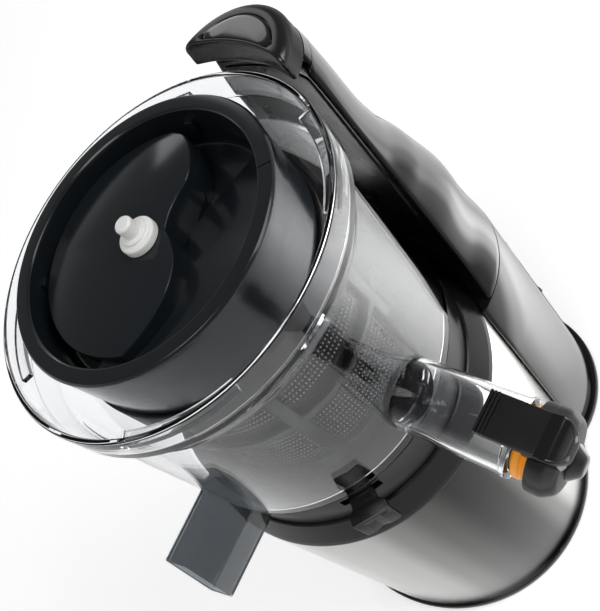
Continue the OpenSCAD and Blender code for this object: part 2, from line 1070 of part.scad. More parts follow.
module strainer_frame() {
  color([0.07, 0.07, 0.07])
    union() {
      tube(strainer_r + 5.5, strainer_r + 2.2, 268, drum_low_z - 1);
      tube(strainer_r + 2.8, strainer_r + 0.2, floor_top_z + 2.4, floor_top_z + 8);
      tube(strainer_r + 3.6, strainer_r + 0.8, 240, 244);
      ring_of(6, 30)
        translate([strainer_r + 0.9, -3, floor_top_z + 4])
          cube([2.6, 6, 267 - floor_top_z - 4]);
      ring_of(6, 30)
        translate([strainer_r + 2.3, -3, 262])
          cube([1.2, 6, 8]);
    }
}

module strainer_mesh() {
  color([0.7, 0.7, 0.72])
    difference() {
      rotate_extrude()
        polygon([
          [strainer_r - 0.4, floor_top_z + 2.6], [strainer_r + 0.1, floor_top_z + 2.6],
          [strainer_r + 0.1, floor_top_z + 9], [strainer_r + 0.7, 240], [strainer_r + 0.7, 267.4],
          [strainer_r + 2, 268.6], [strainer_r + 2, 276], [strainer_r + 1.5, 276],
          [strainer_r + 1.5, 268.8], [strainer_r + 0.2, 267.6], [strainer_r + 0.2, 240.2]
        ]);
      for (z = [214 : 5.2 : 236])
        ring_of(24, 7.5)
          translate([strainer_r - 2, -0.6, z])
            cube([6, 1.2, 3.4]);
    }
}

// ---------- auger ----------

module auger_drum() {
  color([0.06, 0.065, 0.07])
    union() {
      difference() {
        rotate_extrude()
          polygon([
            [drum_r - 2, drum_low_z], [drum_r - 0.4, drum_top_z - 6], [drum_r, drum_top_z - 1.2],
            [drum_r - 1.2, drum_top_z], [drum_mouth_r + 1, drum_top_z], [drum_mouth_r, drum_top_z - 1],
            [drum_mouth_r, recess_z], [16, recess_z], [16, recess_z - 4], [drum_mouth_r - 2, recess_z - 4],
            [drum_mouth_r + 1, recess_z - 6], [drum_r - 2 - drum_t, drum_low_z]
          ]);
        rotate(42)
          translate([drum_mouth_r - 1, -0.3, drum_top_z - 0.4])
            cube([9, 0.6, 1]);
      }
      for (a = [106, 216, 289])
        rotate(a)
          translate([drum_mouth_r - 2.4, -2, plate_z - 6])
            cube([2.6, 4, 5]);
    }
}

module auger_plate() {
  color([0.07, 0.075, 0.08])
    difference() {
      translate([0, 0, recess_z + 0.05])
        linear_extrude(plate_z - recess_z - 0.05)
          intersection() {
            circle(plate_r);
            union() {
              for (l = lobes)
                translate([l[0], l[1]])
                  circle(l[2]);
              translate([-100, -100])
                square([104.5, 128]);
              translate([-100, 0])
                square([80, 100]);
              translate([0, -100])
                square([24.5, 82]);
            }
          }
      rod(4.2, recess_z - 1, plate_z + 1);
    }
}

module auger_screw() {
  color([0.08, 0.085, 0.09])
    difference() {
      union() {
        rotate_extrude()
          polygon([
            [0, floor_top_z + 3], [22, floor_top_z + 3], [27, floor_top_z + 10], [30, 240], [44, 276],
            [44, recess_z - 4.1], [15.9, recess_z - 4.1], [15.9, recess_z], [0, recess_z]
          ]);
        rod(hub_r, bowl_z - 11, floor_top_z + 4);
        intersection() {
          translate([0, 0, floor_top_z + 4])
            linear_extrude(72, twist = -300, slices = 36, $fn = 12)
              ring_of(4)
                translate([10, -1.6])
                  square([60, 3.2]);
          rotate_extrude()
            polygon([
              [0, floor_top_z + 3.5], [strainer_r - 1.8, floor_top_z + 3.5],
              [strainer_r - 1.2, 264], [strainer_r - 1.2, 284], [0, 284]
            ]);
        }
      }
      rod(10.4, bowl_z - 12, seat_z + 27);
      rod(4.2, plate_z - 26, plate_z + 1);
    }
}

module auger_bush() {
  color([0.93, 0.93, 0.92])
    tube(hub_r + 1.6, hub_r + run, bowl_z - 4, bowl_z + 3);
}

module drive_socket() {
  color([0.75, 0.75, 0.77])
    translate([0, 0, bowl_z - 11])
      linear_extrude(seat_z + 26.8 - bowl_z + 11)
        difference() {
          circle(10.3);
          circle(hex_r + 0.35, $fn = 6);
        }
}

module pin_flange() {
  color([0.93, 0.93, 0.92])
    difference() {
      union() {
        rod(4.1, plate_z - 16, plate_z + 0.3);
        rod(8, plate_z + 0.3, plate_z + 3.8);
        rod(5.6, plate_z + 3.7, plate_z + 5.2);
      }
      rod(2.2, plate_z - 17, plate_z + 6);
    }
}

module guide_pin() {
  color([0.93, 0.93, 0.92])
    union() {
      rod(2.1, plate_z - 14, plate_z + 5.4);
      rod(3.7, plate_z + 5.3, plate_z + 10.6);
      translate([0, 0, plate_z + 10.6])
        cylinder(r1 = 3.7, r2 = 3, h = 0.9);
    }
}

// ---------- assembly ----------

rubber_feet();
base_cover();
base_screws();
steel_shell();
seat_collar();
collar_screws();
chassis();
column_lower();
column_arm();
arm_screws();
arm_panel();
handle_hood();
hood_inlay();
hood_screws();
switch_bezel();
switch_rocker();
cord_gland();
control_board();
motor_can();
motor_mount();
motor_screws();
motor_shaft();
motor_rotor();
cooling_fan();
sun_pinion();
gear_case();
ring_gear();
planet_a1();
planet_a2();
planet_a3();
carrier_a();
planet_b1();
planet_b2();
planet_b3();
carrier_b();
drive_shaft();
gear_cover();
gear_screws();
shaft_bearing();
shaft_seal();
bowl();
bowl_ring();
bowl_gasket();
pulp_chute();
pulp_lever();
pulp_pin();
tap_lever();
tap_knob();
tap_seal();
tap_pin();
strainer_frame();
strainer_mesh();
auger_drum();
auger_plate();
auger_screw();
auger_bush();
drive_socket();
pin_flange();
guide_pin();
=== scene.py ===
import json
import math

import bmesh
import bpy
from mathutils import Matrix, Vector


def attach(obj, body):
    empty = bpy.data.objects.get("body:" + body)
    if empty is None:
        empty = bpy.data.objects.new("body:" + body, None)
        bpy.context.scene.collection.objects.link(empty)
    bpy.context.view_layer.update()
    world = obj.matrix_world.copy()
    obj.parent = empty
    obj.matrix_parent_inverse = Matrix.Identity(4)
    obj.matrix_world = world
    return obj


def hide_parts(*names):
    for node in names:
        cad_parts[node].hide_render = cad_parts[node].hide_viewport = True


MM = 0.001
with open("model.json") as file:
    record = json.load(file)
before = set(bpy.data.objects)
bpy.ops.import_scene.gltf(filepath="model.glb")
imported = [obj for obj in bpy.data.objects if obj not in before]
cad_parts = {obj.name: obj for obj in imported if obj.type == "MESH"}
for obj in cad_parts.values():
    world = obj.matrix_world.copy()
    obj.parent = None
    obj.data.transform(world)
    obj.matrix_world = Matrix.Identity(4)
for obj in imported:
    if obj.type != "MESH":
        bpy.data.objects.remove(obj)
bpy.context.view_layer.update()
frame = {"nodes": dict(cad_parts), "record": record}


# ---------- materials ----------


def new_material(name, color, rough, metal=0.0, spec=0.5):
    """A Principled material with its fixed numbers on its own sockets."""
    m = bpy.data.materials.new(name)
    m.use_nodes = True
    p = m.node_tree.nodes["Principled BSDF"]
    p.inputs["Base Color"].default_value = (*color, 1)
    p.inputs["Roughness"].default_value = rough
    p.inputs["Metallic"].default_value = metal
    p.inputs["Specular IOR Level"].default_value = spec
    return m


def node(m, kind, **values):
    """Adds a node and sets its properties or input values."""
    n = m.node_tree.nodes.new(kind)
    for key, value in values.items():
        if key in n.inputs:
            n.inputs[key].default_value = value
        else:
            setattr(n, key, value)
    return n


def link(m, a, b):
    m.node_tree.links.new(a, b)


def principled(m):
    return m.node_tree.nodes["Principled BSDF"]


def math_node(m, how, a, b=None):
    """Result of a maths node fed by sockets or fixed numbers."""
    n = node(m, "ShaderNodeMath", operation=how)
    for socket, value in zip(n.inputs, (a, b)):
        if isinstance(value, float):
            socket.default_value = value
        elif value is not None:
            link(m, value, socket)
    return n.outputs["Value"]


def map_range(m, value, source, target=(0.0, 1.0)):
    """Carries a value from one range to another."""
    n = node(m, "ShaderNodeMapRange")
    for key, number in zip(("From Min", "From Max", "To Min", "To Max"), (*source, *target)):
        n.inputs[key].default_value = number
    link(m, value, n.inputs["Value"])
    return n.outputs["Result"]


def tone_ramp(m, value, stops, interpolation, blue=1.0):
    """Grey ramp through (place, tone) stops, with its blue held back a little where asked."""
    n = node(m, "ShaderNodeValToRGB")
    n.color_ramp.interpolation = interpolation
    while len(n.color_ramp.elements) < len(stops):
        n.color_ramp.elements.new(0.5)
    for element, (place, tone) in zip(n.color_ramp.elements, stops):
        element.position = place
        element.color = (tone, tone, tone * blue, 1)
    link(m, value, n.inputs["Fac"])
    return n.outputs["Color"]


def object_point(m, scale):
    """Object coordinates, stretched by scale."""
    coord = node(m, "ShaderNodeTexCoord")
    mapping = node(m, "ShaderNodeMapping", Scale=scale)
    link(m, coord.outputs["Object"], mapping.inputs["Vector"])
    return mapping.outputs["Vector"]


def round_axis(m):
    """Angle round the drive axis, and height, of the shaded point."""
    split = node(m, "ShaderNodeSeparateXYZ")
    link(m, node(m, "ShaderNodeTexCoord").outputs["Object"], split.inputs["Vector"])
    return math_node(m, "ARCTAN2", split.outputs["Y"], split.outputs["X"]), split.outputs["Z"]


def add_rough(m, low, high, scale, stretch=(1, 1, 1), detail=3):
    """Roughness that wanders between two values, as handling and moulding leave it."""
    noise = node(m, "ShaderNodeTexNoise", Scale=scale, Detail=detail)
    link(m, object_point(m, stretch), noise.inputs["Vector"])
    link(m, map_range(m, noise.outputs["Fac"], (0.3, 0.7), (low, high)), principled(m).inputs["Roughness"])


def add_grain(m, strength):
    """Fine moulded relief."""
    noise = node(m, "ShaderNodeTexNoise", Scale=1800, Detail=2)
    link(m, object_point(m, (1, 1, 1)), noise.inputs["Vector"])
    bump = node(m, "ShaderNodeBump", Strength=strength, Distance=0.0002)
    link(m, noise.outputs["Fac"], bump.inputs["Height"])
    link(m, bump.outputs["Normal"], principled(m).inputs["Normal"])


def plastic(name, color, rough, spread, grain=0.0, spec=0.5):
    m = new_material(name, color, rough, spec=spec)
    add_rough(m, rough, rough + spread, 60)
    if grain:
        add_grain(m, grain)
    return m


def brushed(name, color, rough, stretch):
    """Metal whose fine lines run across the stretched axis."""
    m = new_material(name, color, rough, metal=1.0)
    add_rough(m, rough - 0.04, rough + 0.05, 30, stretch, 6)
    return m


def clear(name, color, ior=1.49):
    """Clear moulded plastic: it bends what is behind it, and lamps shine through it."""
    m = new_material(name, color, 0.0)
    p = principled(m)
    p.inputs["Transmission Weight"].default_value = 1.0
    p.inputs["IOR"].default_value = ior
    path = node(m, "ShaderNodeLightPath")
    through = node(m, "ShaderNodeBsdfTransparent")
    through.inputs["Color"].default_value = (*[0.3 + 0.7 * c for c in color], 1)
    mix = node(m, "ShaderNodeMixShader")
    link(m, path.outputs["Is Shadow Ray"], mix.inputs["Fac"])
    link(m, p.outputs["BSDF"], mix.inputs[1])
    link(m, through.outputs["BSDF"], mix.inputs[2])
    link(m, mix.outputs["Shader"], m.node_tree.nodes["Material Output"].inputs["Surface"])
    return m


def sheen(m, stops):
    """Specular strength that changes from face-on (0) to edge-on (1)."""
    facing = node(m, "ShaderNodeLayerWeight", Blend=0.5).outputs["Facing"]
    link(m, tone_ramp(m, facing, stops, "EASE"), principled(m).inputs["Specular IOR Level"])
    return m


def mesh_metal(name):
    """Dark perforated sheet: bands of fine pale holes in rows on a black ground."""
    m = new_material(name, (0.01, 0.01, 0.01), 0.25)
    angle, height = round_axis(m)
    waves = []
    for source, pitch in ((angle, 200.0), (height, 2100.0)):
        wave = math_node(m, "SINE", math_node(m, "MULTIPLY", source, pitch))
        waves.append(math_node(m, "MAXIMUM", wave, 0.0))
    dots = math_node(m, "MULTIPLY", waves[0], waves[1])
    bands = tone_ramp(m, map_range(m, height, (0.2, 0.3)),
                      ((0.0, 0.0), (0.1, 1.0), (0.36, 0.0), (0.5, 1.0), (0.66, 0.0)), "CONSTANT")
    holes = tone_ramp(m, math_node(m, "MULTIPLY", dots, bands), ((0.35, 0.008), (0.55, 0.2)), "LINEAR")
    link(m, holes, principled(m).inputs["Base Color"])
    return m


def shell_metal_painted_reflection(name, tones):
    """Sheet steel polished along its height, with painted reflection: its colour rolls softly between light and
    dark bands round the shell.
    """
    m = new_material(name, (0.5, 0.5, 0.48), 0.22, metal=1.0)
    add_rough(m, 0.2, 0.27, 25, (1, 1, 0.1), 4)
    angle, _ = round_axis(m)
    # painted reflection: the base colour goes light and dark with the angle round the axis
    stops = [((deg + 180) / 360, tone) for deg, tone in tones]
    tone = tone_ramp(m, map_range(m, angle, (-math.pi, math.pi)), stops, "EASE", blue=0.96)
    link(m, tone, principled(m).inputs["Base Color"])
    return m


BLACK = plastic("black_gloss_plastic", (0.004, 0.004, 0.0045), 0.09, 0.05)
SATIN = plastic("black_satin_plastic", (0.005, 0.005, 0.0055), 0.24, 0.1, grain=0.03, spec=0.3)
DRUM = plastic("auger_dark_plastic", (0.008, 0.0105, 0.0125), 0.13, 0.05, spec=0.36)
SOFT = sheen(plastic("black_moulded_plastic", (0.005, 0.005, 0.0055), 0.16, 0.08),
             ((0.0, 0.6), (0.35, 0.45), (0.55, 0.1), (0.75, 0.03), (1.0, 0.0)))
# the lacquer's sheen is strongest between face-on and edge-on, and dies at the rim
COLUMN = sheen(plastic("column_black_lacquer", (0.004, 0.004, 0.0045), 0.1, 0.04),
               ((0.0, 0.06), (0.45, 0.06), (0.56, 0.3), (0.66, 0.9), (0.8, 1.0), (0.88, 0.25), (0.95, 0.0)))
principled(COLUMN).inputs["IOR"].default_value = 1.95
RUBBER = plastic("foot_rubber", (0.02, 0.02, 0.02), 0.6, 0.15, grain=0.15)
WHITE = plastic("white_acetal", (0.82, 0.82, 0.8), 0.25, 0.1)
ORANGE = plastic("orange_silicone", (1.0, 0.36, 0.01), 0.38, 0.1)
NYLON = plastic("gear_nylon", (0.7, 0.67, 0.55), 0.4, 0.1)
BOARD = plastic("board_green", (0.02, 0.16, 0.06), 0.4, 0.1)
WINDING = plastic("winding_copper", (0.42, 0.15, 0.05), 0.35, 0.15)

# (degrees round the axis, tone): painted reflection, the shell's light and dark sides painted into its colour,
# set one by one
SHELL_PAINTED_REFLECTION = ((-180, 0.4), (-140, 0.5), (-118, 0.3), (-95, 0.34), (-78, 0.62), (-60, 0.4), (-48, 0.36),
               (-37, 0.17), (-26, 0.075), (-14, 0.02), (-4, 0.03), (6, 0.2), (15, 0.7), (32, 0.9),
               (60, 0.5), (180, 0.4))
STEEL = shell_metal_painted_reflection("brushed_steel_shell_painted_reflection", SHELL_PAINTED_REFLECTION)
BRIGHT = brushed("turned_steel", (0.7, 0.7, 0.71), 0.18, (1, 1, 30))
SCREW = brushed("plated_screws", (0.5, 0.5, 0.5), 0.3, (1, 1, 1))
GEAR = brushed("machined_steel", (0.42, 0.42, 0.43), 0.35, (1, 1, 10))
CAST = brushed("cast_aluminium", (0.6, 0.6, 0.61), 0.5, (1, 1, 1))
CAN = brushed("motor_can_steel", (0.4, 0.4, 0.42), 0.38, (1, 1, 20))
CLEAR = clear("clear_bowl_plastic", (0.93, 0.94, 0.95), ior=1.3)
SMOKE = clear("smoke_chute_plastic", (0.28, 0.3, 0.315))
MESH = sheen(mesh_metal("strainer_mesh_steel"), ((0.0, 0.4), (0.5, 0.1), (0.8, 0.0)))

CAD_FINISH = {
    "foot_rubber": RUBBER, "black_gloss": BLACK, "black_satin": SATIN, "auger_grey": DRUM,
    "shell_steel": STEEL, "clear_plastic": CLEAR, "smoke_plastic": SMOKE, "orange_silicone": ORANGE,
    "white_plastic": WHITE, "bright_steel": BRIGHT, "screw_steel": SCREW, "gear_steel": GEAR,
    "planet_nylon": NYLON, "case_aluminium": CAST, "motor_steel": CAN, "winding": WINDING,
    "board_green": BOARD, "mesh_steel": MESH,
}
for part in frame["record"]["subparts"]:
    data = frame["nodes"][part["node"]].data
    data.materials.clear()
    data.materials.append(CAD_FINISH[part["material_slot"]])
SLOT_OF = {p["node"]: p["material_slot"] for p in frame["record"]["subparts"]}
BODY_OF = {n: b for b, ns in frame["record"]["behaviour"]["bodies"].items() for n in ns}


# ---------- mesh helpers, all sizes in millimetres ----------


def finish_piece(name, bm, nodes, material=None, smooth=32, place=None, bevel=0.0, segments=3):
    """Turns a bmesh into a piece that stands for the given CAD nodes and rides on their body."""
    bmesh.ops.remove_doubles(bm, verts=bm.verts, dist=0.0005)
    bmesh.ops.recalc_face_normals(bm, faces=bm.faces)
    me = bpy.data.meshes.new(name)
    bm.to_mesh(me)
    bm.free()
    me.transform(Matrix.Scale(MM, 4))
    if place is not None:
        me.transform(place)
    ob = bpy.data.objects.new(name, me)
    bpy.context.scene.collection.objects.link(ob)
    me.shade_smooth()
    me.set_sharp_from_angle(angle=math.radians(smooth))
    if bevel:
        mod = ob.modifiers.new("edges", "BEVEL")
        mod.width = bevel * MM
        mod.segments = segments
        mod.limit_method = "ANGLE"
        mod.angle_limit = math.radians(28)
        mod.harden_normals = False
        apply_modifiers(ob)
        ob.data.shade_smooth()
        ob.data.set_sharp_from_angle(angle=math.radians(smooth))
    if nodes:
        me = ob.data
        me.materials.append(material or CAD_FINISH[SLOT_OF[nodes[0]]])
        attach(ob, BODY_OF[nodes[0]])
        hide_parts(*nodes)
    return ob


def apply_modifiers(ob):
    bpy.context.view_layer.update()
    solved = ob.evaluated_get(bpy.context.evaluated_depsgraph_get())
    me = bpy.data.meshes.new_from_object(solved)
    ob.modifiers.clear()
    ob.data = me


def cut(ob, tools, how="DIFFERENCE", smooth=32):
    """Boolean of a piece with helper solids, which are removed afterwards."""
    for t in tools:
        mod = ob.modifiers.new("cut", "BOOLEAN")
        mod.operation = how
        mod.solver = "EXACT"
        mod.object = t
    apply_modifiers(ob)
    for t in tools:
        bpy.data.objects.remove(t)
    ob.data.shade_smooth()
    ob.data.set_sharp_from_angle(angle=math.radians(smooth))


def rounded(points, radii, steps=5):
    """A closed outline with its corners rounded; radii is one number or one per corner."""
    out = []
    n = len(points)
    for i, p in enumerate(points):
        r = radii[i] if isinstance(radii, (list, tuple)) else radii
        p = Vector(p)
        a = Vector(points[i - 1]) - p
        b = Vector(points[(i + 1) % n]) - p
        if r <= 0 or a.length < 1e-6 or b.length < 1e-6:
            out.append(tuple(p))
            continue
        half = a.angle(b) / 2
        if half > math.radians(88) or half < math.radians(2):
            out.append(tuple(p))
            continue
        d = min(r / math.tan(half), 0.49 * a.length, 0.49 * b.length)
        r = d * math.tan(half)
        centre = p + (a.normalized() + b.normalized()).normalized() * (r / math.sin(half))
        s = p + a.normalized() * d - centre
        e = p + b.normalized() * d - centre
        turn = math.atan2(s.x * e.y - s.y * e.x, s.dot(e))
        for k in range(steps + 1):
            t = turn * k / steps
            out.append((centre.x + s.x * math.cos(t) - s.y * math.sin(t),
                        centre.y + s.x * math.sin(t) + s.y * math.cos(t)))
    return out


def lathe(profile, centre=(0, 0), steps=192, start=0.0, sweep=360.0):
    """Solid turned about a vertical line from a closed (radius, height) outline."""
    bm = bmesh.new()
    full = sweep >= 360
    count = steps if full else steps + 1
    rings = []
    for i in range(count):
        a = math.radians(start + sweep * i / steps)
        rings.append([bm.verts.new((centre[0] + r * math.cos(a), centre[1] + r * math.sin(a), z))
                      for r, z in profile])
    n = len(profile)
    for i in range(steps):
        a, b = rings[i], rings[(i + 1) % count]
        for k in range(n):
            q = [a[k], b[k], b[(k + 1) % n], a[(k + 1) % n]]
            if profile[k][0] < 1e-9 and profile[(k + 1) % n][0] < 1e-9:
                continue
            bm.faces.new(q)
    if not full:
        bm.faces.new(rings[0])
        bm.faces.new(rings[-1])
    return bm


def loft(rings):
    """Solid through a list of rings of equal length."""
    bm = bmesh.new()
    verts = [[bm.verts.new(p) for p in ring] for ring in rings]
    n = len(rings[0])
    for a, b in zip(verts, verts[1:]):
        for k in range(n):
            bm.faces.new([a[k], a[(k + 1) % n], b[(k + 1) % n], b[k]])
    bm.faces.new(verts[0])
    bm.faces.new(verts[-1])
    return bm


def prism(outline, z0, z1):
    """Straight solid from a plane outline between two heights."""
    return loft([[(x, y, z0) for x, y in outline], [(x, y, z1) for x, y in outline]])


def tool(bm, place=None):
    """Helper solid for a boolean."""
    return finish_piece("helper", bm, [], place=place)


def block(x0, x1, y0, y1, z0, z1):
    return prism([(x0, y0), (x1, y0), (x1, y1), (x0, y1)], z0, z1)


def disc(r, z0, z1, centre=(0, 0), steps=64):
    return lathe([(0, z0), (r, z0), (r, z1), (0, z1)], centre, steps)


def turn_z(deg):
    return Matrix.Rotation(math.radians(deg), 4, "Z")


# ---------- base ----------

BASE_R, SHELL_R, LOBE_R, COLUMN_Y = 82.0, 80.0, 60.2, 62.0


def base_outline(inset):
    """Foot outline: the main circle and the column lobe joined by hollow corners."""
    fillet = 14.0
    a, b = BASE_R + fillet, LOBE_R + fillet
    fy = (a * a - b * b + COLUMN_Y ** 2) / (2 * COLUMN_Y)
    fx = math.sqrt(a * a - fy * fy)
    main_r, lobe_r, f = BASE_R - inset, LOBE_R - inset, fillet + inset
    t_main = math.atan2(fy, fx)
    t_lobe = math.atan2(fy - COLUMN_Y, fx)
    out = []
    for k in range(121):
        t = math.pi - t_main + (math.pi + 2 * t_main) * k / 120
        out.append((main_r * math.cos(t), main_r * math.sin(t)))
    for k in range(1, 12):
        t = math.pi + t_main + (t_lobe - t_main) * k / 12
        out.append((fx + f * math.cos(t), fy + f * math.sin(t)))
    for k in range(73):
        t = t_lobe + (math.pi - 2 * t_lobe) * k / 72
        out.append((lobe_r * math.cos(t), COLUMN_Y + lobe_r * math.sin(t)))
    for k in range(1, 12):
        t = -t_lobe + (t_lobe - t_main) * k / 12
        out.append((-fx + f * math.cos(t), fy + f * math.sin(t)))
    return out


rim_steps = [(3.0, 1.0), (1.0, 1.0), (0.4, 1.2), (0.1, 1.8), (0, 2.6), (0, 4.4), (0.15, 5.2),
             (0.6, 5.75), (1.2, 5.9), (4.0, 5.9)]
rim_rows = [[(x, y, z) for x, y in base_outline(inset)] for inset, z in rim_steps]
rim = finish_piece("base_rim", loft(rim_rows), ["base_cover"], BLACK)
feet = [(0, 0), (30, -60), (-30, -60), (36, 88), (-36, 88)]
holes = [tool(disc(9.2, 0, 3, p)) for p in feet]
for x in (-40, -32, -24, 20.5, 28.5, 36.5):
    holes.append(tool(block(x, x + 3.5, -24, 24, 0, 5)))
for k in range(4):
    a = math.radians(45 + 90 * k)
    holes.append(tool(disc(3, 0, 3, (66 * math.cos(a), 66 * math.sin(a)))))
for x in (-21, 21):
    holes.append(tool(disc(3, 0, 3, (x, 106.6))))
cut(rim, holes)

SHELL = [(SHELL_R - 0.8, 6), (SHELL_R, 6), (SHELL_R, 162.5), (SHELL_R - 0.8, 162.5)]
finish_piece("steel_shell_skin", lathe(rounded(SHELL, [0, 0.2, 0.3, 0]), steps=256), ["steel_shell"])

COLLAR = [(80, 162.6), (80, 163.4), (79.3, 165.2), (73.9, 175.3), (73.0, 176), (20, 176), (20, 181),
          (14.4, 181), (14.4, 172), (70, 172), (76, 162.6)]
COLLAR_ROUND = [0.1, 0.6, 1.2, 0.5, 0.3, 0, 0.8, 0.8, 0, 0, 0]
finish_piece("seat_collar_ring", lathe(rounded(COLLAR, COLLAR_ROUND), steps=256), ["seat_collar"], SATIN)


# ---------- column ----------


def section(c, r, front, corner, z, outer=72, nose=10, inner=32):
    """Crescent outline: outer circle behind, hollow front about the drive axis, rounded corners."""
    p, q = r - corner, front + corner
    y = (q * q - p * p + c * c) / (2 * c)
    x = math.sqrt(max(q * q - y * y, 1e-6))
    t0 = math.atan2(y - c, x)
    t1 = math.atan2(y, x)
    out = []
    for k in range(outer + 1):
        t = t0 + (math.pi - 2 * t0) * k / outer
        out.append((r * math.cos(t), c + r * math.sin(t), z))
    sweep = (t1 + math.pi) - (t0 + 2 * math.pi)
    for k in range(1, nose):
        t = math.pi - t0 - sweep * k / nose
        out.append((-x + corner * math.cos(t), y + corner * math.sin(t), z))
    for k in range(inner + 1):
        t = math.pi - t1 + (2 * t1 - math.pi) * k / inner
        out.append((front * math.cos(t), front * math.sin(t), z))
    for k in range(1, nose):
        t = t1 + math.pi - sweep * k / nose
        out.append((x + corner * math.cos(t), y + corner * math.sin(t), z))
    return out


def spline(table, z):
    """Smooth value between the rows of a (height, value) table, without overshoot."""
    n = len(table)
    if z <= table[0][0]:
        return table[0][1]
    if z >= table[-1][0]:
        return table[-1][1]
    d = [(table[i + 1][1] - table[i][1]) / (table[i + 1][0] - table[i][0]) for i in range(n - 1)]
    m = [d[0]] + [0 if d[i - 1] * d[i] <= 0 else 2 * d[i - 1] * d[i] / (d[i - 1] + d[i])
                  for i in range(1, n - 1)] + [d[-1]]
    for i in range(n - 1):
        if z <= table[i + 1][0]:
            h = table[i + 1][0] - table[i][0]
            t = (z - table[i][0]) / h
            return ((2 * t ** 3 - 3 * t * t + 1) * table[i][1] + (t ** 3 - 2 * t * t + t) * h * m[i]
                    + (3 * t * t - 2 * t ** 3) * table[i + 1][1] + (t ** 3 - t * t) * h * m[i + 1])


# (height, value) rows: the centre and the radius of the arm's back
ARM_Y = [(164.8, 62), (184.8, 68.3), (209.8, 72.8), (231.8, 72.2), (252.8, 68.4), (272.4, 66.6),
         (296.4, 67), (309, 69.4)]
ARM_R = [(164.8, 54), (184.8, 46.2), (209.8, 41.2), (231.8, 37.2), (252.8, 34.9), (272.4, 34.1),
         (296.4, 33), (309, 30.2)]
ARM_FRONT, FLARE_Z = 84.6, 307

FOOT_R, TAPER = 57, 0.0185
lower = [section(COLUMN_Y, FOOT_R - (z - 6) * TAPER - i, SHELL_R + 0.15 + i * 0.2, 1.6, z)
         for i, z in ((0.4, 6), (0, 6.6), (0, 60), (0, 120), (0, 163.9), (0.15, 164.3), (0.5, 164.5))]
column = finish_piece("column_housing", loft(lower), ["column_lower"], COLUMN)
gland_hole = Matrix.Translation((0, 0.092, 0.03)) @ Matrix.Rotation(-math.pi / 2, 4, "X")
cut(column, [tool(block(-13, 13, 92, 132, 79, 111)), tool(disc(6.2, 0, 40), gland_hole)])

rows = []
arm_steps = [(0.5, 164.8), (0.12, 165.0), (0, 165.5)]
arm_steps += [(0, 165.5 + 2 * k) for k in range(1, 71)]
arm_steps += [(0, FLARE_Z), (0, 308.4), (0.06, 308.9), (0.2, 309)]
for inset, z in arm_steps:
    front = ARM_FRONT + (1.4 * ((z - FLARE_Z) / 2) ** 2 if z > FLARE_Z else 0)
    rows.append(section(spline(ARM_Y, z), spline(ARM_R, z) - inset, front + inset * 0.3, 1.6, z))
finish_piece("column_arm_skin", loft(rows), ["column_arm"], COLUMN)

panel = lathe([(84.0, 170), (84.6, 170), (84.6, 303.8), (84.0, 303.8)], steps=24, start=73.5, sweep=33)
finish_piece("arm_front_panel", panel, ["arm_panel"], SATIN, bevel=0.15)

hood_rows = [(69.4, 30.0, 309.05), (69.4, 30.15, 309.2), (69.5, 29.4, 313.2), (69.5, 29.25, 313.3)]
tenon = loft([section(c, r, 87.4, 1.0, z) for c, r, z in hood_rows])
finish_piece("hood_tenon", tenon, ["handle_hood"], COLUMN)

HOOD_Y, HOOD_R = 69.5, 28.9


def hood_top_row(inset, z):
    """Section of the hood's top, whose front corners round off as it steps inwards."""
    return section(HOOD_Y, HOOD_R - inset, 80 + (inset - 4.6) * 0.35, 1.3 + (inset - 4.6) * 0.3, z)


# (inset, height, forward step) up the hood's side, then over its rounded shoulder
steps = [(-0.2, 313.35, 0.9), (-0.3, 313.5, 0.2), (-0.3, 314, 0), (-0.25, 316, 0), (0.0, 318.8, 0)]
steps += [(4.4 - 4.4 * math.cos(math.radians(a)), 320 + 4.4 * math.sin(math.radians(a)),
           0.8 - 0.8 * math.cos(math.radians(a))) for a in range(0, 91, 10)]
rows = [section(HOOD_Y, HOOD_R - i, 79.1 + f, 1.3, z) for i, z, f in steps]
rows += [hood_top_row(i, z) for i, z in ((5.4, 324.45), (6.2, 324.4), (6.4, 324.2), (6.5, 323.5))]
finish_piece("handle_hood_cap", loft(rows), ["handle_hood"], SOFT)
inlay_steps = ((6.75, 323.4), (6.75, 324.1), (6.9, 324.35), (7.3, 324.48), (8.4, 324.52))
finish_piece("hood_top_inlay", loft([hood_top_row(i, z) for i, z in inlay_steps]), ["hood_inlay"], BLACK)


# ---------- bowl ----------

BOWL = [(15.5, 197), (74, 197), (74, 286), (77.6, 294), (78.2, 294), (78.2, 309), (75.8, 309),
        (75.8, 296.5), (71.2, 288), (71.2, 200), (15.5, 200)]
BOWL_ROUND = [0, 3.5, 8, 0.2, 0.5, 1.0, 0.8, 2, 8, 3.5, 0]
bowl = finish_piece("bowl_wall", lathe(rounded(BOWL, BOWL_ROUND, 8), steps=256), ["bowl"])
# the spout's own frame, and the same frame with its height along the spout
SPOUT = turn_z(3) @ Matrix.Translation((0.074, 0, 0.216)) @ Matrix.Rotation(math.radians(10), 4, "Y")
ALONG = SPOUT @ Matrix.Rotation(math.pi / 2, 4, "Y")
SPOUT_R, SPOUT_LIP, SPOUT_LEN, SPOUT_BORE = 15.5, 16.3, 46, 13.3
outer = [(0, -3.2), (SPOUT_R, -3.2), (SPOUT_R, 43.4), (SPOUT_LIP, 44.2), (SPOUT_LIP, SPOUT_LEN), (0, SPOUT_LEN)]
outer = lathe(rounded(outer, [0, 0, 0.8, 0.5, 0.4, 0], 4), steps=96)
cut(bowl, [tool(outer, ALONG)], "UNION", 24)
cut(bowl, [tool(disc(SPOUT_BORE, -8, 60, steps=96), ALONG)], "DIFFERENCE", 24)

